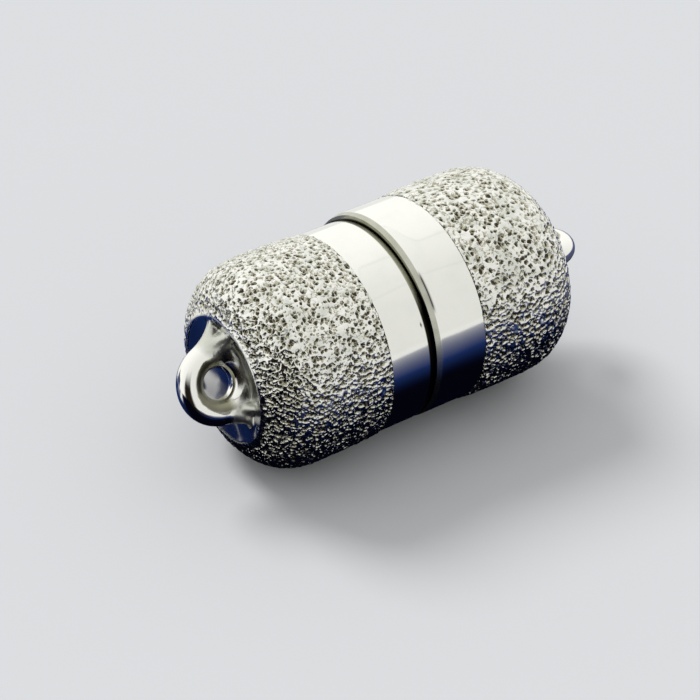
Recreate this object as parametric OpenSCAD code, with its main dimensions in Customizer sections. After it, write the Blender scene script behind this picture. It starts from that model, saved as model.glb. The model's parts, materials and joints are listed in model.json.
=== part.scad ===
// Magnetic clasp of two hollow silver halves, lying on its side.
// The clasp's axis runs along X, +Z is up, and the origin is the middle of its footprint.
// Each half is drawn standing on its mating face, with its own axis along +Z, and is then laid down.

/* [Near half] */
// Widest diameter of the near textured cup
near_cup_d = 8.14; // [7.4:0.02:9.6]
// Step from the near cup's widest line down to its polished band
near_band_step = 0.14; // [0.05:0.01:0.3]
// Length of the near band from the mating face to the cup's mouth
near_band_w = 1.87; // [1.2:0.01:2.6]
// Length of the near textured cup from its mouth to the dish rim
near_cup_w = 4.78; // [4.2:0.01:6.5]
// Turn of the near loop about the clasp's axis, from upright
near_loop_turn = 29; // [0:1:180]
// Height of the near loop's middle above the dish rim
near_loop_rise = 0.3; // [0.2:0.01:0.8]

/* [Far half] */
// How much wider the far textured cup is than the near one
far_cup_extra = 0.24; // [0:0.02:0.6]
// Step from the far cup's widest line down to its polished band
far_band_step = 0.15; // [0.05:0.01:0.3]
// Length of the far band from the mating face to the cup's mouth
far_band_w = 2.18; // [1.2:0.01:2.6]
// Length of the far textured cup from its mouth to the dish rim
far_cup_w = 5.02; // [4.2:0.01:6.5]
// Turn of the far loop about the clasp's axis, from upright
far_loop_turn = 76; // [0:1:180]
// Height of the far loop's middle above the dish rim
far_loop_rise = 0.55; // [0.2:0.01:0.8]

/* [Cup] */
// Wall of the cup
cup_wall = 0.4; // [0.25:0.05:0.6]
// Radius of the long arc that gives the cup its bulge
crown_r = 30; // [20:1:60]
// Place of the widest line along the cup, as a share of its length from the mouth
crown_share = 0.38; // [0.2:0.01:0.5]
// Radius of the shoulder that draws the cup in to the dish rim
shoulder_r = 2.1; // [1.9:0.05:2.5]
// Diameter of the dish rim, which is the opening in the cup's end
rim_d = 4.96; // [4.4:0.02:5.4]
// Wall of the neck that is turned in behind the dish rim
neck_wall = 0.4; // [0.25:0.05:0.6]
// Width of the ledge in the neck, which carries the loop cap
ledge_w = 0.45; // [0.3:0.05:0.8]
// Thickness of the ledge
ledge_t = 0.35; // [0.2:0.05:0.6]

/* [Band] */
// Radius of the rounded rim at the mating face
rim_round = 0.22; // [0.1:0.01:0.4]
// Wall of the band's spigot around the magnet
spigot_wall = 0.42; // [0.3:0.02:0.6]
// Length of the spigot that goes into the cup
spigot_l = 1.2; // [0.6:0.1:1.8]
// Thickness of the band's floor behind the magnet
floor_t = 0.4; // [0.2:0.05:0.8]

/* [Magnet] */
// Thickness of the magnet
magnet_t = 2; // [1:0.1:2.2]
// Depth of the magnet's face below the mating face
magnet_recess = 0.08; // [0.02:0.01:0.3]
// Chamfer round the magnet's edges
magnet_chamfer = 0.15; // [0.05:0.05:0.3]

/* [Loop cap] */
// Depth of the dish at its middle
dish_depth = 0.8; // [0.4:0.05:0.9]
// Thickness of the loop cap at the dish's middle
dish_t = 0.3; // [0.2:0.05:0.6]
// Depth of the cap's edge below the dish rim
edge_drop = 0.04; // [0:0.01:0.1]
// Diameter of the loop's wire
wire_d = 0.98; // [0.7:0.02:1.1]
// Outside diameter of the loop
loop_d = 3.1; // [2.6:0.02:3.6]
// Radius of the solder flare at each side of the loop
flare_r = 0.95; // [0.5:0.05:1]

/* [Fits] */
// Gap between the two mating faces
face_gap = 0.03; // [0.02:0.01:0.2]
// Clearance between pieces of one half
fit = 0.02; // [0.01:0.01:0.05]

/* [Hidden] */
$fn = 96;
// Steps of the long crown arc, of a shoulder arc and of a small round
crown_steps = 8;
shoulder_steps = 14;
round_steps = 6;
dish_steps = 12;
// Length by which a bore's cut runs past the face that it opens
overcut = 1;

far_cup_d = near_cup_d + far_cup_extra;
near_band_d = near_cup_d - 2 * near_band_step;
far_band_d = far_cup_d - 2 * far_band_step;
rim_r = rim_d / 2;
wire_r = wire_d / 2;
loop_r = loop_d / 2 - wire_r;
seat_depth = dish_depth + dish_t;

// The far half is the larger one, so its axis is the model's middle line.
// Both halves rest on the surface, each on its own widest line.
near_half_l = near_band_w + near_cup_w;
far_half_l = far_band_w + far_cup_w;
near_tip = near_half_l + near_loop_rise + loop_d / 2;
far_tip = face_gap + far_half_l + far_loop_rise + loop_d / 2;
seam_x = (near_tip - far_tip) / 2;

// Points on an arc about [r, z]; an angle of 0 points outwards and 90 points up.
function arc(centre, radius, from, to, steps) =
    [for (i = [0:steps])
        let (a = from + (to - from) * i / steps)
        centre + radius * [cos(a), sin(a)]];

// A list without its first item, which the line before it already ends on
function tail(list) = [for (i = [1:len(list) - 1]) list[i]];

// The meeting point of two circles that lies to the left of the line from a to b.
function circles_meet(a, ra, b, rb) =
    let (gap = b - a,
         d = norm(gap),
         along = (ra * ra - rb * rb + d * d) / (2 * d),
         across = sqrt(ra * ra - along * along))
    a + (along * gap + across * [-gap[1], gap[0]]) / d;

// Direction of a vector, in degrees
function heading(v) = atan2(v[1], v[0]);

// Centre of the crown arc of a cup, as [r, z]
function crown_centre(cup_d, band_w, cup_w) =
    [cup_d / 2 - crown_r, band_w + crown_share * cup_w];

// Centre of the shoulder arc, which is tangent to the crown arc and ends at the dish rim
function shoulder_centre(cup_d, band_w, cup_w) =
    circles_meet([rim_r, band_w + cup_w], shoulder_r,
                 crown_centre(cup_d, band_w, cup_w), crown_r - shoulder_r);

// Radius of a circle about centre where it passes the height z
function radius_at(centre, radius, z) =
    centre[0] + sqrt(pow(radius, 2) - pow(z - centre[1], 2));

// Radius of the cup's bore at its mouth
function mouth_r(cup_d, band_w, cup_w) =
    radius_at(crown_centre(cup_d, band_w, cup_w), crown_r - cup_wall, band_w);

// Outline of the cup's wall: up the outside, down into the neck, and back inside
function cup_outline(cup_d, band_w, cup_w) =
    let (top = band_w + cup_w,
         crown = crown_centre(cup_d, band_w, cup_w),
         shoulder = shoulder_centre(cup_d, band_w, cup_w),
         turn = heading(shoulder - crown),
         mouth_out = asin((band_w - crown[1]) / crown_r),
         mouth_in = asin((band_w - crown[1]) / (crown_r - cup_wall)),
         rim = heading([rim_r, top] - shoulder),
         neck_r = rim_r + neck_wall,
         neck_in = acos((neck_r - shoulder[0]) / (shoulder_r - cup_wall)),
         ledge_z = top - seat_depth)
    concat(
        arc(crown, crown_r, mouth_out, turn, crown_steps),
        tail(arc(shoulder, shoulder_r, turn, rim, shoulder_steps)),
        [[rim_r, ledge_z],
         [rim_r - ledge_w, ledge_z],
         [rim_r - ledge_w, ledge_z - ledge_t],
         [neck_r, ledge_z - ledge_t]],
        arc(shoulder, shoulder_r - cup_wall, neck_in, turn, shoulder_steps),
        tail(arc(crown, crown_r - cup_wall, turn, mouth_in, crown_steps)));

module cup(cup_d, band_w, cup_w) {
    color("silver")
        rotate_extrude()
            polygon(cup_outline(cup_d, band_w, cup_w));
}

// Radius of the band's spigot
function spigot_r(cup_d, band_w, cup_w) = mouth_r(cup_d, band_w, cup_w) - fit;

// Radius of the magnet
function magnet_r(cup_d, band_w, cup_w) = spigot_r(cup_d, band_w, cup_w) - spigot_wall - fit;

module band(cup_d, band_d, band_w, cup_w) {
    band_r = band_d / 2;
    bore_r = magnet_r(cup_d, band_w, cup_w) + fit;
    bore_l = magnet_recess + magnet_t + fit;
    color("lightgray")
        difference() {
            union() {
                rotate_extrude()
                    polygon(concat(
                        [[0, 0]],
                        arc([band_r - rim_round, rim_round], rim_round, -90, 0, round_steps),
                        [[band_r, band_w - fit], [0, band_w - fit]]));
                cylinder(h = band_w + spigot_l, r = spigot_r(cup_d, band_w, cup_w));
            }
            translate([0, 0, -overcut])
                cylinder(h = bore_l + overcut, r = bore_r);
            translate([0, 0, bore_l + floor_t])
                cylinder(h = band_w + spigot_l, r = bore_r);
        }
}

module magnet(cup_d, band_w, cup_w) {
    r = magnet_r(cup_d, band_w, cup_w);
    translate([0, 0, magnet_recess])
        color("gray")
            rotate_extrude()
                polygon([[0, 0],
                         [r - magnet_chamfer, 0],
                         [r, magnet_chamfer],
                         [r, magnet_t - magnet_chamfer],
                         [r - magnet_chamfer, magnet_t],
                         [0, magnet_t]]);
}

// The leg at one side of the loop, with the flare that solder leaves where it meets the dish
module leg(rise) {
    leg_r = wire_r - 2 * fit;
    foot_r = leg_r + flare_r;
    face_z = -dish_depth * (1 - pow(loop_r / rim_r, 2));
    flare_top = min(face_z + flare_r, rise - fit);
    root_z = -dish_depth - dish_t / 3;
    translate([loop_r, 0, 0])
        rotate_extrude()
            polygon(concat(
                [[0, rise], [0, root_z], [foot_r, root_z]],
                arc([foot_r, flare_top], flare_r, -90, -180, round_steps),
                [[leg_r, rise]]));
}

// The polished dish, with its concave face up and its rim at the height 0
module dish() {
    edge_r = rim_r - fit;
    sag = dish_depth - edge_drop;
    bowl_r = (edge_r * edge_r + sag * sag) / (2 * sag);
    bowl_z = bowl_r - dish_depth;
    half_turn = asin(edge_r / bowl_r);
    rotate_extrude()
        polygon(concat(
            [[0, fit - seat_depth], [edge_r, fit - seat_depth]],
            arc([0, bowl_z], bowl_r, half_turn - 90, -90, dish_steps)));
}

module loop_cap(half_l, turn, rise) {
    translate([0, 0, half_l])
        rotate([0, 0, turn])
            color("gainsboro")
                union() {
                    dish();
                    for (side = [0, 180])
                        rotate([0, 0, side])
                            leg(rise);
                    translate([0, 0, rise])
                        rotate([90, 0, 0])
                            rotate_extrude()
                                translate([loop_r, 0])
                                    circle(r = wire_r);
                }
}

// Lays the near half down, its loop towards -X
module lay_near() {
    translate([seam_x, 0, near_cup_d / 2])
        rotate([0, -90, 0])
            children();
}

// Lays the far half down, its loop towards +X
module lay_far() {
    translate([seam_x + face_gap, 0, far_cup_d / 2])
        rotate([0, 90, 0])
            children();
}

module near_cup() lay_near() cup(near_cup_d, near_band_w, near_cup_w);
module near_band() lay_near() band(near_cup_d, near_band_d, near_band_w, near_cup_w);
module near_magnet() lay_near() magnet(near_cup_d, near_band_w, near_cup_w);
module near_loop_cap() lay_near() loop_cap(near_half_l, near_loop_turn, near_loop_rise);
module far_cup() lay_far() cup(far_cup_d, far_band_w, far_cup_w);
module far_band() lay_far() band(far_cup_d, far_band_d, far_band_w, far_cup_w);
module far_magnet() lay_far() magnet(far_cup_d, far_band_w, far_cup_w);
module far_loop_cap() lay_far() loop_cap(far_half_l, far_loop_turn, far_loop_rise);

near_cup();
near_band();
near_magnet();
near_loop_cap();
far_cup();
far_band();
far_magnet();
far_loop_cap();
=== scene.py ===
import json
import math

import bpy
import numpy as np
from mathutils import Matrix, Vector


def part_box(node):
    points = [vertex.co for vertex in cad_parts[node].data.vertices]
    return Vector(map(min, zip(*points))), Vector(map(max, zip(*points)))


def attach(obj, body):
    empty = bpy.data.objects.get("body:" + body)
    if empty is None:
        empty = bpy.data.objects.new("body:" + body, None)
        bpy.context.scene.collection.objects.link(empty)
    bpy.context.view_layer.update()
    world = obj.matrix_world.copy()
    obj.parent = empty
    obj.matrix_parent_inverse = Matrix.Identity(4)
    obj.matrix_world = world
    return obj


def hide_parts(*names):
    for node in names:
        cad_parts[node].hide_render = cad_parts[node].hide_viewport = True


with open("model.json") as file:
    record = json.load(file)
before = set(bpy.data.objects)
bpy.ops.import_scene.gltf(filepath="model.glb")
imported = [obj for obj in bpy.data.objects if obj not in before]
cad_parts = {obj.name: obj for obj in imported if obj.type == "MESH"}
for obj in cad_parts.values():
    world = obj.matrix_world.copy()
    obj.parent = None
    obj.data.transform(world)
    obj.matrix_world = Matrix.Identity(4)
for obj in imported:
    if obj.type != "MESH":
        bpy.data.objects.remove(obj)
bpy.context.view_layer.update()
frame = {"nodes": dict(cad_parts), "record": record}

# Textured cups
# Each half's shell is sterling silver, spun to a slightly bulging barrel and drawn in to the rim of the dish.
# A diamond point pitted its outside all over, which left a bright network between small dark pits. The shell
# is pushed over the band's spigot and fixed there.
MM = 0.001
cup_wall = 0.4
crown_r = 30.0
crown_share = 0.38
shoulder_r = 2.1
rim_r = 2.48
neck_wall = 0.4
ledge_w = 0.45
ledge_t = 0.35
seat_depth = 1.1
skin_step = 0.0425
skin_segments = 640
plain_segments = 160
silver = (0.92, 0.92, 0.875, 1.0)
clouded = (0.55, 0.58, 0.52, 1.0)
# Painted shade round the pits, a greyer olive.
pit_shade_olive = (0.44, 0.415, 0.285, 1.0)
# Painted shade along thin crease lines.
crease_shade_dark = (0.20, 0.19, 0.11, 1.0)
tarnish = (0.024, 0.016, 0.009, 1.0)
lip_drop = 0.03
lip_length = 0.15
lip_lap = 0.03
pit_spacings = {"near": 0.18, "far": 0.205}
pit_sweep = 0.15
pit_fray = 0.13
pit_depth = 0.06
pit_bump = 0.03
rubbed_over = 0.04
rubbed_t = 0.03
rim_polish = (0.04, 0.26)


def half_of(name, way):
    """Where a half lies: its mating face, the way out to its loop, its axis height and its cup's sizes."""
    low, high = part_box(name + "_cup")
    band_low, band_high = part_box(name + "_band")
    face = band_high.x if way < 0 else band_low.x
    mouth, rim = (high.x, low.x) if way < 0 else (low.x, high.x)
    return {"name": name, "body": name + "_half", "way": way, "face": face, "axis": (low.z + high.z) / 2,
            "mouth": way * (mouth - face) / MM, "rim": way * (rim - face) / MM,
            "widest": (high.z - low.z) / 2 / MM}


def arc(centre, radius, start, end, steps):
    """Points on an arc, each as (radius, along), with the first and the last one."""
    angles = np.linspace(start, end, steps + 1)
    return np.array(centre) + radius * np.stack([np.cos(angles), np.sin(angles)], axis=1)


def circles_meet(a, ra, b, rb):
    """The meeting point of two circles that lies to the left of the line from a to b."""
    gap = b - a
    apart = np.hypot(*gap)
    along = (ra * ra - rb * rb + apart * apart) / (2 * apart)
    across = math.sqrt(ra * ra - along * along)
    return a + (along * gap + across * np.array([-gap[1], gap[0]])) / apart


def eased(values, low, high):
    """0 below low and 1 above high, with a smooth step between them."""
    share = np.clip((values - low) / (high - low), 0, 1)
    return share * share * (3 - 2 * share)


def turned(name, half, rows, loop):
    """A closed piece turned about its half's axis. A row is (radius, along, segments, sharp), with along in
    millimetres from the mating face. With loop the last row meets the first, or else both lie on the axis."""
    counts = [segments if radius > 0 else 1 for radius, along, segments, sharp in rows]
    first = np.concatenate([[0], np.cumsum(counts)])
    vertices, faces = [], []
    for (radius, along, segments, sharp), count in zip(rows, counts):
        for turn in np.linspace(0, 2 * math.pi, count, endpoint=False):
            vertices.append((half["face"] + half["way"] * along * MM,
                             -half["way"] * radius * MM * math.sin(turn),
                             half["axis"] + radius * MM * math.cos(turn)))
    pairs = list(zip(range(len(rows) - 1), range(1, len(rows)))) + [(len(rows) - 1, 0)] * loop
    for a, b in pairs:
        fewer = min(counts[a], counts[b])
        if fewer == 1:
            ring, pole = (b, a) if counts[a] == 1 else (a, b)
            steps = [(first[ring] + k, first[ring] + (k + 1) % counts[ring]) for k in range(counts[ring])]
            faces += [(first[pole], p, q) if ring == a else (first[pole], q, p) for p, q in steps]
            continue
        for k in range(fewer):
            edge_a, edge_b = (
                [first[row] + (k * counts[row] // fewer + i) % counts[row]
                 for i in range(counts[row] // fewer + 1)]
                for row in (a, b))
            faces.append(tuple(edge_a + edge_b[::-1]))
    mesh = bpy.data.meshes.new(name)
    mesh.from_pydata(vertices, [], faces)
    mesh.shade_smooth()
    row_of = np.repeat(np.arange(len(rows)), counts)
    ends = np.zeros(2 * len(mesh.edges), int)
    mesh.edges.foreach_get("vertices", ends)
    ends = row_of[ends.reshape(-1, 2)]
    sharp_row = np.array([sharp for radius, along, segments, sharp in rows])
    on_sharp = (ends[:, 0] == ends[:, 1]) & sharp_row[ends[:, 0]]
    mesh.attributes.new("sharp_edge", "BOOLEAN", "EDGE").data.foreach_set("value", on_sharp)
    piece = bpy.data.objects.new(name, mesh)
    bpy.context.scene.collection.objects.link(piece)
    return piece, row_of


class Wire:
    """One output of a node. Arithmetic on it adds Math nodes, and node() adds any other node to its tree."""

    def __init__(self, tree, socket=None):
        self.tree = tree
        self.socket = socket

    def node(self, kind, settings, inputs, output=0):
        """A new node with these settings, and these values or links of its sockets."""
        made = self.tree.nodes.new(kind)
        for name, value in settings.items():
            setattr(made, name, value)
        for name, value in inputs.items():
            if isinstance(value, Wire):
                self.tree.links.new(value.socket, made.inputs[name])
            else:
                made.inputs[name].default_value = value
        return Wire(self.tree, made.outputs[output])

    def math(self, operation, *values):
        return self.node("ShaderNodeMath", {"operation": operation}, dict(enumerate(values)))

    def __add__(self, other):
        return self.math("ADD", self, other)

    def __sub__(self, other):
        return self.math("SUBTRACT", self, other)

    def __rsub__(self, other):
        return self.math("SUBTRACT", other, self)

    def __mul__(self, other):
        return self.math("MULTIPLY", self, other)

    def __truediv__(self, other):
        return self.math("DIVIDE", self, other)

    def __pow__(self, other):
        return self.math("POWER", self, other)

    def __rtruediv__(self, other):
        return self.math("DIVIDE", other, self)

    __radd__ = __add__
    __rmul__ = __mul__

    def smooth(self, low, high):
        """0 below low and 1 above high, with a smooth step between them."""
        return self.node("ShaderNodeMapRange", {"interpolation_type": "SMOOTHSTEP"},
                         {"Value": self, "From Min": low, "From Max": high})

    def vector(self, operation, *others, output="Vector"):
        """Vector Math on this vector and the others."""
        inputs = dict(enumerate((self, *others)))
        return self.node("ShaderNodeVectorMath", {"operation": operation}, inputs, output)

    def shifted(self, offset):
        """A vector moved by another one."""
        return self.vector("ADD", offset)

    def scaled(self, factor):
        """A vector times a number."""
        return self.node("ShaderNodeVectorMath", {"operation": "SCALE"}, {0: self, "Scale": factor})

    def parts(self):
        """The three numbers of a vector."""
        return [self.node("ShaderNodeSeparateXYZ", {}, {"Vector": self}, axis) for axis in "XYZ"]

    def size(self):
        """A number without its sign."""
        return self.math("ABSOLUTE", self)

    def noise(self, scale, detail=0.0, output="Fac"):
        """Noise at this place, about 0.5 on average."""
        return self.node("ShaderNodeTexNoise", {}, {"Vector": self, "Scale": scale, "Detail": detail}, output)

    def cells(self, scale, output="Distance"):
        """Cells about scattered points: the distance to the nearest point, or another output."""
        return self.node("ShaderNodeTexVoronoi", {}, {"Vector": self, "Scale": scale}, output)


def pitting(at, spacing):
    """How deep the point struck at a place in millimetres: 0 on the bright network, and 1 in a pit's bottom.
    Pits of two sizes overlap, and two noises pull them out of round."""
    centred = (-0.5, -0.5, -0.5)
    swept = at.noise(2.6, 1.0, "Color").shifted(centred).scaled(pit_sweep)
    frayed = at.noise(7.0, 0.0, "Color").shifted(centred).scaled(pit_fray)
    struck = at.shifted(swept).shifted(frayed)
    reach = struck.cells(1 / spacing, "Color") * 0.28 + at.noise(1.1).smooth(0.35, 0.65) * 0.1 + 0.8
    large = 1 - (struck.cells(1 / spacing) / reach).smooth(0.17, 0.55)
    small = 1 - struck.shifted((7.3, 2.1, 4.4)).cells(1.3 / spacing).smooth(0.12, 0.46)
    return large.math("MAXIMUM", large, small * 0.62)


def modifier_tree(name, sizes):
    """An empty Geometry Nodes tree with a geometry socket and one named input for each size."""
    tree = bpy.data.node_groups.new(name, "GeometryNodeTree")
    tree.interface.new_socket("Geometry", in_out="OUTPUT", socket_type="NodeSocketGeometry")
    tree.interface.new_socket("Geometry", in_out="INPUT", socket_type="NodeSocketGeometry")
    for size, value in sizes.items():
        socket = tree.interface.new_socket(size, in_out="INPUT", socket_type="NodeSocketFloat")
        socket.default_value = value
    given = tree.nodes.new("NodeGroupInput")
    inputs = {socket.name: Wire(tree, socket) for socket in given.outputs if socket.name}
    return tree, Wire(tree), inputs


def close_tree(tree, geometry, material):
    """Ends a tree: its instances are realized, its material is set, and the result goes out."""
    solid = geometry.node("GeometryNodeRealizeInstances", {}, {"Geometry": geometry})
    dressed = solid.node("GeometryNodeSetMaterial", {}, {"Geometry": solid, "Material": material})
    given_out = tree.nodes.new("NodeGroupOutput")
    tree.links.new(dressed.socket, given_out.inputs[0])


def grown(piece, tree, sizes):
    """Runs a tree on a piece with these sizes and leaves the result as the piece's plain mesh."""
    modifier = piece.modifiers.new(tree.name, "NODES")
    modifier.node_group = tree
    for item in tree.interface.items_tree:
        if item.in_out == "INPUT" and item.name in sizes:
            modifier[item.identifier] = sizes[item.name]
    evaluated = piece.evaluated_get(bpy.context.evaluated_depsgraph_get())
    mesh = bpy.data.meshes.new_from_object(evaluated)
    piece.modifiers.remove(modifier)
    mesh.name = piece.name
    piece.data = mesh


def new_material(name):
    """A material with an empty tree, and a Wire to add nodes with."""
    material = bpy.data.materials.new(name)
    material.use_nodes = True
    material.node_tree.nodes.clear()
    return material, Wire(material.node_tree)


def blend_of(make, amount, first, second):
    """The colour that lies this share of the way from the first to the second."""
    return make.node("ShaderNodeMix", {"data_type": "RGBA"}, {0: amount, 6: first, 7: second}, 2)


def stored_mask(make, name, output="Fac"):
    """A mask that is stored on the mesh."""
    return make.node("ShaderNodeAttribute", {"attribute_name": name}, {}, output)


def bump_of(make, height):
    """The normal that a height in millimetres gives."""
    return make.node("ShaderNodeBump", {}, {"Strength": 1.0, "Distance": MM, "Height": height})


def give_surface(make, shader, end_kind="ShaderNodeOutputMaterial"):
    """Joins a shader to the end of its tree."""
    end = make.tree.nodes.new(end_kind)
    make.tree.links.new(shader.socket, end.inputs["Surface"])


def finish_metal(make, colour, roughness, normal):
    """Gives a material a metal's shader."""
    give_surface(make, make.node("ShaderNodeBsdfPrincipled", {}, {
        "Base Color": colour, "Roughness": roughness, "Metallic": 1.0, "Normal": normal}))


def store_masks(piece, masks):
    """Stores one number for each vertex under each name."""
    for name, values in masks.items():
        piece.data.attributes.new(name, "FLOAT", "POINT").data.foreach_set("value", values)


pit_spacing = pit_spacings["near"]
textured, make = new_material("textured_silver")
worked_at = stored_mask(make, "rest", "Vector")
skin = stored_mask(make, "skin")
pit = pitting(worked_at, pit_spacing)
cloud = worked_at.noise(1.5, 2.0).smooth(0.42, 0.66) * skin * 0.45
# Painted shade: thin dark olive lines in patches, like shaded creases.
crease_shade = 1 - (worked_at.noise(6.5) - 0.5).size().smooth(0.0, 0.05)
crease_shade = crease_shade * worked_at.noise(2.7).smooth(0.40, 0.60) * skin * 0.8
# Painted shade: a greyer olive round each pit, deepening towards its core. The cores below are dark with
# tarnish.
pit_shade = pit.smooth(0.03, 0.62) * skin * 0.85
dark = pit.smooth(0.74, 1.04) * skin
colour = blend_of(make, cloud, silver, clouded)
colour = blend_of(make, crease_shade, colour, crease_shade_dark)
colour = blend_of(make, pit_shade, colour, pit_shade_olive)
colour = blend_of(make, dark, colour, tarnish)
height = (worked_at.noise(7.0) * 0.008 - pit * pit_bump) * skin
finish_metal(make, colour, 0.13 + pit * 0.22, bump_of(make, height))

struck_skin, make, sizes = modifier_tree("struck_skin", {
    "Pit Spacing": pit_spacing, "Pit Depth": pit_depth, "Swell Height": 0.08, "Facet Height": 0.05,
    "Lip Raggedness": 0.05, "Outward": 1.0})
place = make.node("GeometryNodeInputPosition", {}, {}).scaled(1 / MM)
worked = place.scaled(pit_spacing / sizes["Pit Spacing"])
stored = make.node("GeometryNodeStoreNamedAttribute", {"data_type": "FLOAT_VECTOR"}, {
    "Geometry": sizes["Geometry"], "Name": "rest", "Value": worked})
skin = make.node("GeometryNodeInputNamedAttribute", {"data_type": "FLOAT"}, {"Name": "skin"})
lip = make.node("GeometryNodeInputNamedAttribute", {"data_type": "FLOAT"}, {"Name": "lip"})
swell = (0.8 - place.noise(3.1, 1.0)) * sizes["Swell Height"]
swell = swell + (0.8 - worked.noise(6.0)) * sizes["Facet Height"]
depth = pitting(worked, pit_spacing) * sizes["Pit Depth"] + swell
out = make.node("GeometryNodeInputNormal", {}, {})
inward = out.scaled(depth * skin * -MM)
ragged = (place.noise(5.5, 1.0) - 0.5) * lip * sizes["Lip Raggedness"] * sizes["Outward"] * MM
along_axis = make.node("ShaderNodeCombineXYZ", {}, {"X": ragged})
moved = make.node("GeometryNodeSetPosition", {}, {"Geometry": stored, "Offset": inward.shifted(along_axis)})
close_tree(struck_skin, moved, textured)

halves = [half_of("near", -1), half_of("far", 1)]
for half in halves:
    mouth, rim_at = half["mouth"], half["rim"]
    crown = np.array([half["widest"] - crown_r, mouth + crown_share * (rim_at - mouth)])
    rim = np.array([rim_r, rim_at])
    shoulder = circles_meet(rim, shoulder_r, crown, crown_r - shoulder_r)
    turn = math.atan2(*(shoulder - crown)[::-1])
    rim_turn = math.atan2(*(rim - shoulder)[::-1])
    mouth_out = math.asin((mouth - crown[1]) / crown_r)
    mouth_in = math.asin((mouth - crown[1]) / (crown_r - cup_wall))
    neck_r = rim_r + neck_wall
    neck_in = math.acos((neck_r - shoulder[0]) / (shoulder_r - cup_wall))
    crown_steps = round(crown_r * (turn - mouth_out) / skin_step)
    shoulder_steps = round(shoulder_r * (rim_turn - turn) / skin_step)
    outside = np.concatenate([arc(crown, crown_r, mouth_out, turn, crown_steps),
                              arc(shoulder, shoulder_r, turn, rim_turn, shoulder_steps)[1:]])
    inside = np.concatenate([
        [(rim_r - rubbed_over, rim_at - 0.004), (rim_r - rubbed_over, rim_at - rubbed_t),
         (rim_r, rim_at - rubbed_t), (rim_r, rim_at - seat_depth), (rim_r - ledge_w, rim_at - seat_depth),
         (rim_r - ledge_w, rim_at - seat_depth - ledge_t), (neck_r, rim_at - seat_depth - ledge_t)],
        arc(shoulder, shoulder_r - cup_wall, neck_in, turn, 10),
        arc(crown, crown_r - cup_wall, turn, mouth_in, 6)[1:]])
    to_lip = np.clip(1 - (outside[:, 1] - mouth) / lip_length, 0, 1)
    outside[:, 0] -= lip_drop * to_lip ** 2
    outside = np.concatenate([[(outside[0, 0], mouth - lip_lap)], outside])
    last = len(outside) - 1
    rows = [(r, along, skin_segments, number in (0, last)) for number, (r, along) in enumerate(outside)]
    rows += [(r, along, plain_segments, number < 7 or number == len(inside) - 1)
             for number, (r, along) in enumerate(inside)]
    cup, row_of = turned("textured_cup_" + half["name"], half, rows, True)
    from_rim = np.concatenate([rim_at - outside[:, 1], np.zeros(len(inside))])
    from_rim = np.hypot(from_rim, np.concatenate([outside[:, 0] - rim_r, np.zeros(len(inside))]))
    skin_weight = eased(from_rim, *rim_polish)[row_of]
    lip_weight = np.clip(1 - row_of / 3, 0, 1)
    store_masks(cup, {"skin": skin_weight, "lip": lip_weight})
    cup.data.materials.append(textured)
    grown(cup, struck_skin, {"Outward": float(half["way"]), "Pit Spacing": pit_spacings[half["name"]]})
    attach(cup, half["body"])
    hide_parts(half["name"] + "_cup")

# Polished bands
# Each half's sleeve is turned from silver rod and polished, and its rim at the mating face is rougher and
# painted olive as a painted reflection of the other rim. Its spigot goes into the shell's mouth, and its bore
# holds the magnet. The far rim has a burr and the near band a nick. Painted shade darkens the gap at the mating
# face, more towards the bottom, and the nick and the burr. A faint haze and painted reflections of a tent's
# seams lie on both.
fit = 0.02
spigot_wall = 0.42
floor_t = 0.4
groove = {"depth": 0.016, "width": 0.011}
rims = {"near": {"length": 0.23, "drop": 0.045, "softness": 0.08, "worn": 0.88},
        "far": {"length": 0.20, "drop": 0.06, "softness": 0.12, "worn": 0.66}}
polish = (0.94, 0.94, 0.90, 1.0)
# Painted reflection of the other rim, olive.
reflected_olive = (0.30, 0.305, 0.205, 1.0)
# Painted reflection of a tent's seams, also the tone of a faint random haze.
haze_and_reflected_grey = (0.66, 0.685, 0.63, 1.0)
# Painted shade at the seam between the halves, in the nick and in the burr.
seam_shade_black = (0.012, 0.010, 0.006, 1.0)
face_ring = 0.3
cut_depth = 0.03
nick = {"along": 0.34, "length": 0.03, "down": 61.5, "turn": 1.2}
burr = {"along": 0.24, "length": 0.045, "down": 48, "turn": 13, "fade": 6}


def place_in_mm(make):
    """The place on the piece in millimetres."""
    return make.node("ShaderNodeTexCoord", {}, {}, "Object").scaled(1 / MM)


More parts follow.
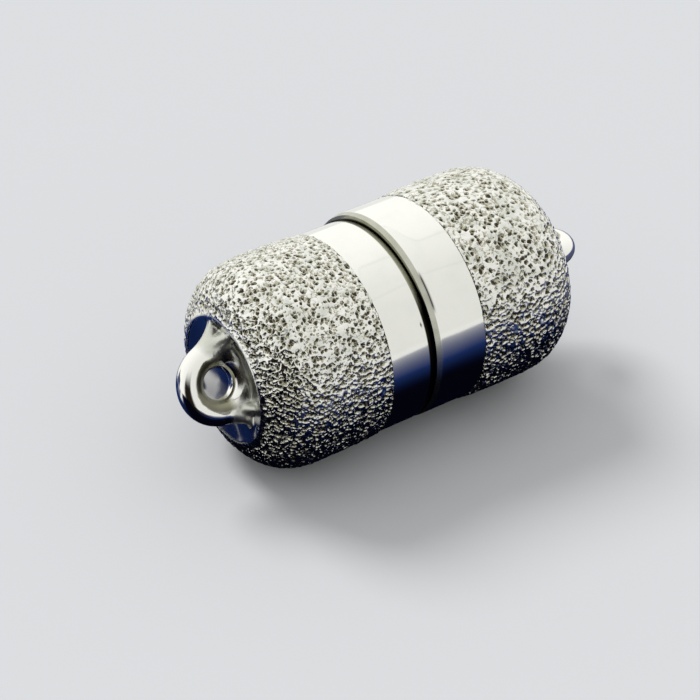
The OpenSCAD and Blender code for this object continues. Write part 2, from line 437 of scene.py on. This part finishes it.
polished, make = new_material("polished_silver")
spot = place_in_mm(make)
worn, seam_shade, reflected_seams = [stored_mask(make, name) for name in ("worn", "seam_shade", "reflected_seams")]
lines = make.node("ShaderNodeMapping", {}, {"Vector": spot, "Scale": (26.0, 0.35, 0.35)}).noise(1.0, 2.0)
smudge = spot.noise(0.9, 3.0)
height = lines * 0.0005 + spot.noise(0.7) * 0.012
# Painted reflection: the rim strip goes olive from the other rim's reflection, and is rougher.
olive_rim_share = worn * (spot.noise(2.2, 3.0) * 0.5 + 0.72)
# Faint random haze, and the painted reflection of a tent's seams.
haze_and_reflected_seams = reflected_seams + spot.noise(1.3, 3.0).smooth(0.4, 0.75) * 0.1
colour = blend_of(make, haze_and_reflected_seams, polish, haze_and_reflected_grey)
colour = blend_of(make, olive_rim_share, colour, reflected_olive)
# Painted shade: the seam, the nick and the burr go near black.
colour = blend_of(make, seam_shade, colour, seam_shade_black)
finish_metal(make, colour, 0.05 + smudge * 0.08 + worn * 0.26, bump_of(make, height))
for half in halves:
    low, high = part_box(half["name"] + "_band")
    magnet_low, magnet_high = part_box(half["name"] + "_magnet")
    band_r = (high.z - low.z) / 2 / MM
    magnet_r = (magnet_high.z - magnet_low.z) / 2 / MM
    ends = sorted(half["way"] * (x - half["face"]) / MM for x in (magnet_low.x, magnet_high.x))
    bore_r, bore_l = magnet_r + fit, ends[1] + fit
    spigot_r, spigot_end = bore_r + spigot_wall, (high.x - low.x) / MM
    shoulder_at = half["mouth"] - fit / 10
    rim = rims[half["name"]]
    sleeve = np.concatenate([np.linspace(0, 0.48, 33), np.arange(0.5, shoulder_at, 0.06), [shoulder_at]])
    beyond = 1 - sleeve / rim["length"]
    profile = band_r - rim["drop"] * (beyond + np.sqrt(beyond ** 2 + rim["softness"] ** 2)) / 2
    if half["name"] == "near":
        profile -= groove["depth"] * np.exp(-(sleeve / groove["width"]) ** 2)
    face_r = np.linspace(band_r - face_ring, profile[0], 12)[:-1]
    rows = [(0, bore_l, plain_segments, False), (bore_r, bore_l, plain_segments, True),
            (bore_r, 0, plain_segments, True)]
    rows += [(r, 0, skin_segments, False) for r in face_r]
    rows += [(r, along, skin_segments, along in (0, shoulder_at)) for r, along in zip(profile, sleeve)]
    rows += [(spigot_r, shoulder_at, plain_segments, True), (spigot_r, spigot_end, plain_segments, True),
             (bore_r, spigot_end, plain_segments, True), (bore_r, bore_l + floor_t, plain_segments, True),
             (0, bore_l + floor_t, plain_segments, False)]
    band, row_of = turned("polished_band_" + half["name"], half, rows, False)
    along = np.array([row[1] for row in rows])[row_of]
    radius = np.array([row[0] for row in rows])[row_of]
    on_face = (row_of >= 3) & (row_of < 3 + len(face_r))
    outside = (row_of >= 3 + len(face_r)) & (row_of < 3 + len(face_r) + len(sleeve))
    place = np.array([vertex.co for vertex in band.data.vertices])
    down = np.degrees(np.arctan2(-place[:, 1], place[:, 2] - half["axis"]))
    strip = 1 - eased(along, rim["length"] * 0.93, rim["length"] * 1.12)
    # Painted reflection on the rim strip and the face, stronger on the near rim.
    worn = (outside | on_face) * strip * rim["worn"]
    if half["name"] == "near":
        cut = np.exp(-((along - nick["along"]) / nick["length"]) ** 2
                     - ((down - nick["down"]) / nick["turn"]) ** 2)
        # Painted shade on the rim strip, from part way down towards the bottom, and a dark line at the face's
        # edge.
        lower_seam_shade = eased(np.abs(down), 34, 57) ** 1.5 * (1 - eased(np.abs(down), 100, 145) * 0.75)
        edge_line = np.where(on_face, eased(radius, profile[0] - 0.05, profile[0]),
                             1 - eased(along, 0.003, 0.016))
        seam_shade = np.maximum(outside * strip * lower_seam_shade, edge_line)
        upper = 20.3 + 9 * np.clip((np.abs(along - 0.95) - 0.55) / 0.4, 0, 1) ** 2
    else:
        cut = np.exp(-((along - burr["along"]) / burr["length"]) ** 2)
        cut = cut * eased(burr["turn"] - np.abs(down - burr["down"]), 0, burr["fade"])
        # Painted shade on the face's inner part, reaching wider towards the bottom.
        edge = band_r - 0.19 + 0.11 * eased(np.abs(down), 32, 60)
        seam_shade = on_face * (1 - eased(radius, edge - 0.015, edge + 0.015))
        upper = 20.7 - 17 * np.clip((1.02 - along) / 0.65, 0, 1) ** 2
    # Painted reflection of a tent's seams: a greyer panel below a curved line, and two thin darker lines.
    outline = np.exp(-((down - upper) / 0.9) ** 2) + np.exp(-((down - 38 - along) / 0.8) ** 2) * 0.6
    reflected_seams = outside * (along > 0.25) * (0.10 * eased(down - upper, -0.5, 0.5) + 0.22 * outline)
    cut = cut * outside
    # The nick and the burr get painted shade as well as their dents.
    seam_shade = np.maximum(cut, seam_shade * (outside | on_face))
    to_axis = np.stack([np.zeros(len(place)), -place[:, 1], half["axis"] - place[:, 2]], axis=1)
    place += to_axis * (cut * cut_depth / band_r)[:, None]
    band.data.vertices.foreach_set("co", place.ravel())
    store_masks(band, {"worn": worn, "seam_shade": seam_shade, "reflected_seams": reflected_seams})
    band.data.materials.append(polished)
    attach(band, half["body"])
    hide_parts(half["name"] + "_band")

# Magnets
# Each band's bore holds a disc magnet of sintered neodymium, plated with nickel and pushed in a little below the
# mating face. It shows when the halves are apart.
nickel = (0.72, 0.70, 0.66, 1.0)
plated, make = new_material("plated_magnet")
spot = place_in_mm(make)
finish_metal(make, nickel, 0.16 + spot.noise(2.0, 2.0) * 0.12, bump_of(make, spot.noise(6.0, 3.0) * 0.003))
for half in halves:
    magnet = frame["nodes"][half["name"] + "_magnet"]
    magnet.data.materials.clear()
    magnet.data.materials.append(plated)

# Loop caps
# The cap is a polished silver dish that closes the shell's end. A thick loop of round wire stands upright in it,
# its ends soldered into the dish, and the solder flares out around them. Its inside and the solder are duller.
dish_depth = 0.8
edge_drop = 0.04
wire_r = 0.49
loop_r = 1.06
voxel = 0.035
cube_reach = 2.6
cube_below = 1.4
solder_grey = (0.60, 0.61, 0.54, 1.0)
# Painted shade in the dish.
dish_shade_grey = (0.28, 0.28, 0.30, 1.0)
hole_olive = (0.34, 0.33, 0.22, 1.0)
# Each ridge of solder: where it starts and ends, as outward, along the hole and up, and its radius there.
solder_ridges = (
    ((0.20, 0.06, 1.25), (-0.20, 0.14, 2.20), 0.42, 0.10),
    ((0.10, 0.12, 1.30), (-0.42, 0.74, 1.55), 0.40, 0.17),
    ((-0.15, 0.20, -1.22), (-0.60, 0.95, -1.22), 0.28, 0.10),
    ((-0.10, 0.20, -1.30), (-0.52, 0.62, -1.80), 0.34, 0.08))
soldered, make = new_material("soldered_silver")
spot = place_in_mm(make)
solder, inside, dish_shade = [stored_mask(make, name) for name in ("solder", "inside", "dish_shade")]
colour = blend_of(make, solder * 0.75, polish, solder_grey)
# Painted shade: the dish darkens away from the ring and the solder, more towards its lower side.
colour = blend_of(make, dish_shade, colour, dish_shade_grey)
colour = blend_of(make, inside * (spot.noise(2.5, 2.0) * 0.3 + 0.75), colour, hole_olive)
height = spot.noise(1.5, 1.0) * 0.012 + spot.noise(7.0, 1.0) * solder * 0.012
roughness = 0.07 + spot.noise(1.1, 2.0) * 0.06 + solder * 0.26 + inside * 0.2
finish_metal(make, colour, roughness, bump_of(make, height))


def ridge(place, start, end, thick, thin):
    """The distance to a rounded ridge of solder that runs from start to end and gets thinner."""
    run = tuple(b - a for a, b in zip(start, end))
    from_start = place.shifted(tuple(-a for a in start))
    share = from_start.vector("DOT_PRODUCT", run, output="Value") / sum(step * step for step in run)
    share = share.node("ShaderNodeClamp", {}, {"Value": share})
    middle = place.node("ShaderNodeVectorMath", {"operation": "SCALE"}, {0: run, "Scale": share})
    return from_start.vector("DISTANCE", middle, output="Value") - (thick + (thin - thick) * share)


tree, make, sizes = modifier_tree("soldered_loop", {
    "Rise": 0.3, "Wire Radius": wire_r, "Loop Radius": loop_r, "Edge Radius": rim_r - fit,
    "Dish Depth": dish_depth, "Edge Drop": edge_drop, "Seat Depth": seat_depth - fit, "Unevenness": 0.007})
place = make.node("GeometryNodeInputPosition", {}, {})
out_h, side_n, up_u = place.parts()
down_u = up_u * -1
edge_r, depth = sizes["Edge Radius"], sizes["Dish Depth"]
sag = depth - sizes["Edge Drop"]
bowl_r = (edge_r * edge_r + sag * sag) / (2 * sag)
from_axis = (side_n ** 2 + up_u ** 2) ** 0.5
above_bowl = out_h - (bowl_r - depth)
to_bowl = bowl_r - (from_axis ** 2 + above_bowl ** 2) ** 0.5
below_seat = (sizes["Seat Depth"] * -1) - out_h
body = make.math("SMOOTH_MAX", make.math("MAXIMUM", from_axis - edge_r, below_seat), to_bowl, 0.04)
around = (up_u ** 2 + (out_h - sizes["Rise"]) ** 2) ** 0.5 - sizes["Loop Radius"]
ring = (around ** 2 + side_n ** 2) ** 0.5 - sizes["Wire Radius"]
ring = make.math("MAXIMUM", ring, below_seat + 0.1)
flare = up_u.smooth(0.4, 1.5) * 0.65 + down_u.smooth(0.7, 1.6) * 0.5 + (0.5 - down_u.smooth(0.0, 0.5) * 0.22)
joined = make.math("SMOOTH_MIN", body, ring, flare)
ridges = [ridge(place, *line) for line in solder_ridges]
flow = ridges[0]
for line in ridges[1:]:
    flow = make.math("SMOOTH_MIN", flow, line, 0.25)
solid = make.math("SMOOTH_MIN", joined, flow, 0.4) + (place.noise(1.6, 1.0) - 0.5) * sizes["Unevenness"]
across = round(2 * cube_reach / voxel)
cube = make.node("GeometryNodeVolumeCube", {}, {
    "Density": make.math("MAXIMUM", 0.5 - solid, 0.0), "Background": 0.0,
    "Min": (-cube_below, -cube_reach, -cube_reach), "Max": (cube_reach, cube_reach, cube_reach),
    "Resolution X": round((cube_reach + cube_below) / voxel), "Resolution Y": across, "Resolution Z": across})
shell = make.node("GeometryNodeVolumeToMesh", {}, {"Volume": cube, "Threshold": 0.5})
nearer = ring - body
wander = (place.noise(3.0, 2.0) - 0.5) * 0.12
soldered_share = make.math("MAXIMUM", 1 - nearer.size().smooth(0.05, 0.45), 1 - flow.smooth(0.02, 0.2))
tarnished = (wander - around).smooth(-0.01, 0.05) * (1 - nearer.smooth(-0.15, 0.15))
tarnished = tarnished * flow.smooth(-0.05, 0.15) * out_h.smooth(-0.1, 0.25)
hollow = nearer.smooth(-0.1, 0.4) * flow.smooth(0.0, 0.25)
seating = (from_axis - edge_r + 0.14).smooth(0.0, 0.08) * side_n.smooth(0.2, 1.6) * 0.6
masks = {"solder": soldered_share * (1 - (from_axis - 1.2).smooth(0.9, 1.2)),
         # Painted shade in the dish, stronger towards its lower side.
         "dish_shade": hollow * (0.9 - up_u.smooth(-0.8, 0.8) * 0.75),
         "inside": make.math("MAXIMUM", tarnished, seating)}
for mask, value in masks.items():
    shell = make.node("GeometryNodeStoreNamedAttribute", {"data_type": "FLOAT"}, {
        "Geometry": shell, "Name": mask, "Value": value})
smooth = make.node("GeometryNodeSetShadeSmooth", {}, {"Geometry": shell})
close_tree(tree, smooth, soldered)
for half in halves:
    mount = next(m for m in frame["record"]["mounts"] if m["name"] == half["name"] + "_loop")
    rise = half["way"] * (mount["pos_m"][0] - half["face"]) / MM - half["rim"]
    cap = bpy.data.objects.new("loop_cap_" + half["name"], bpy.data.meshes.new("cap"))
    bpy.context.scene.collection.objects.link(cap)
    grown(cap, tree, {"Rise": rise})
    outward, hole = Vector((half["way"], 0, 0)), Vector(mount["axis"]).normalized()
    turn = Matrix([outward, hole, outward.cross(hole)]).transposed().to_4x4()
    rim_x = half["face"] + half["way"] * half["rim"] * MM
    cap.data.transform(Matrix.Translation((rim_x, 0, half["axis"])) @ turn @ Matrix.Scale(MM, 4))
    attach(cap, half["body"])
    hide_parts(half["name"] + "_loop_cap")

# Studio
# A plain pale floor under a pale surround, with one soft sun from behind. The silver mirrors a tent and a sheet
# that only its reflections show, and that leave the floor plain.
floor_colour = (0.49, 0.50, 0.52, 1.0)
surround = (0.93, 0.93, 0.91, 1.0)
reflected_r = 80.0
white = (1.0, 1.0, 0.975)
sheet_white = (0.86, 0.86, 0.84, 1.0)
deep_blue = (0.0105, 0.026, 0.115, 1.0)
unlit = (0.0008, 0.001, 0.004, 1.0)
brown_dark = (0.012, 0.009, 0.006, 1.0)
front_left, left, behind = (-0.80, -0.60, 0.0), (-0.966, -0.26, 0.0), (-0.743, 0.669, 0.0)
streak_way, grey_way = (-0.982, 0.19, 0.0), (-0.92, 0.39, 0.0)

bpy.ops.mesh.primitive_plane_add(size=4.0)
floor = bpy.context.object
floor.name = "floor"
pale, make = new_material("pale_floor")
give_surface(make, make.node("ShaderNodeBsdfPrincipled", {}, {
    "Base Color": floor_colour, "Roughness": 0.6, "Specular IOR Level": 0.0}))
floor.data.materials.append(pale)
floor.visible_glossy = False

world = bpy.data.worlds.new("surround")
bpy.context.scene.world = world
world.use_nodes = True
world.node_tree.nodes.clear()
make = Wire(world.node_tree)
light = make.node("ShaderNodeBackground", {}, {"Color": surround, "Strength": 1.0})
give_surface(make, light, "ShaderNodeOutputWorld")


def seen_only_in_reflections(thing, glow, make, colour):
    """Gives a reflected surface its own light, and keeps it out of the picture and off the floor."""
    thing.name = glow.name
    give_surface(make, make.node("ShaderNodeEmission", {}, {"Color": colour}))
    thing.data.materials.append(glow)
    thing.visible_camera = thing.visible_diffuse = thing.visible_shadow = False


def bearing(place, toward, outside, inside):
    """1 where a place lies in this level direction from the clasp, and 0 away from it."""
    level = place.vector("MULTIPLY", (1.0, 1.0, 0.0)).vector("NORMALIZE")
    across = level.vector("DOT_PRODUCT", toward, output="Value")
    return across.smooth(math.cos(math.radians(outside)), math.cos(math.radians(inside)))


tented, make = new_material("reflected_tent")
place = make.node("ShaderNodeTexCoord", {}, {}, "Object").scaled(1 / MM / reflected_r)
back, height = place.parts()[1:]
bright = back.smooth(-0.9, 0.9) * 0.26 + 0.81
colour = make.node("ShaderNodeCombineXYZ", {}, dict(zip("XYZ", white))).scaled(bright)
low_blue = bearing(place, behind, 18, 11) * (1 - height.smooth(0.17, 0.25))
colour = blend_of(make, low_blue, colour, deep_blue)
wedge = bearing(place, front_left, 29, 17) * (1 - height.smooth(0.45, 0.82))
colour = blend_of(make, wedge, colour, brown_dark)
bpy.ops.mesh.primitive_uv_sphere_add(segments=96, ring_count=48, radius=reflected_r * MM)
seen_only_in_reflections(bpy.context.object, tented, make, colour)

sheeted, make = new_material("reflected_sheet")
place = place_in_mm(make)
right, back = place.parts()[:2]
ahead = back * -1
shade = make.node("ShaderNodeMapping", {}, {
    "Vector": place, "Location": (-0.45, 2.0, 0.0), "Scale": (0.45, 1.0, 1.0)}).vector("LENGTH", output="Value")
colour = blend_of(make, shade.smooth(4.3, 10.0), unlit, deep_blue)
haze = make.node("ShaderNodeMapRange", {}, {
    "Value": ahead, "From Min": 10.5, "From Max": 29.5, "To Max": 0.36})
colour = make.node("ShaderNodeCombineXYZ", {}, {"X": 1.0, "Y": 0.97, "Z": 0.85}).scaled(haze).shifted(colour)
lilac = right.smooth(8.0, 14.0) * back.smooth(-17.0, -11.0) * 0.08
colour = make.node("ShaderNodeCombineXYZ", {}, {"X": 0.85, "Y": 0.85, "Z": 1.1}).scaled(lilac).shifted(colour)
ends = ahead.smooth(31.0, 33.5)
ends = ends.math("MAXIMUM", ends, back.smooth(10.5, 16.0) * (right + back * 0.7).smooth(-6.0, 0.0))
far_off = (right ** 2 + back ** 2) ** 0.5
left_blue = bearing(place, behind, 18, 11) * far_off.smooth(38.0, 44.0)
beyond = back.smooth(6.0, 12.0) * far_off.smooth(29.0, 34.0) * (1 - left_blue)
ends = ends.math("MAXIMUM", ends, beyond * 0.6)
ends = ends.math("MAXIMUM", ends, right.smooth(28.0, 40.0))
streak = bearing(place, streak_way, 6.0, 3.0) * 0.95 + bearing(place, grey_way, 11.0, 6.0) * 0.17
ends = ends.math("MAXIMUM", ends, streak * (right * -1).smooth(14.0, 17.5))
colour = blend_of(make, ends, colour, sheet_white)
wedge = bearing(place, front_left, 23, 14) * shade.smooth(6.0, 12.0)
colour = blend_of(make, wedge, colour, brown_dark)
colour = blend_of(make, bearing(place, left, 23, 13), colour, unlit)
bpy.ops.mesh.primitive_circle_add(vertices=96, radius=reflected_r * MM, fill_type="NGON")
seen_only_in_reflections(bpy.context.object, sheeted, make, colour)

key = bpy.data.objects.new("key", bpy.data.lights.new("key", "SUN"))
key.data.energy = 2.35
key.data.angle = math.radians(24)
key.visible_glossy = False
key.rotation_euler = Vector((-0.05, 0.22, 0.24)).to_track_quat("Z", "Y").to_euler()
bpy.context.scene.collection.objects.link(key)

# Camera
# It stands where the photograph was taken from, which the clasp's outline there gives.
clasp_spot = Vector((-0.635, 0.0, 4.07)) * MM
distance = 91 * MM
aim_right, aim_up = 0.657 * MM, 1.067 * MM
toward_camera = Vector((-0.469, -0.662, 0.585)).normalized()
to_right = Vector((-toward_camera.y, toward_camera.x, 0)).normalized()
upward = toward_camera.cross(to_right)
camera = bpy.data.objects.new("camera", bpy.data.cameras.new("camera"))
camera.data.sensor_width = 36.0
camera.data.lens = 125.4
camera.data.clip_start = 0.001
turn = Matrix([to_right, upward, toward_camera]).transposed().to_4x4()
spot = clasp_spot + toward_camera * distance - to_right * aim_right - upward * aim_up
camera.matrix_world = Matrix.Translation(spot) @ turn
bpy.context.scene.collection.objects.link(camera)
bpy.context.scene.camera = camera
bpy.context.scene.view_settings.view_transform = "Standard"
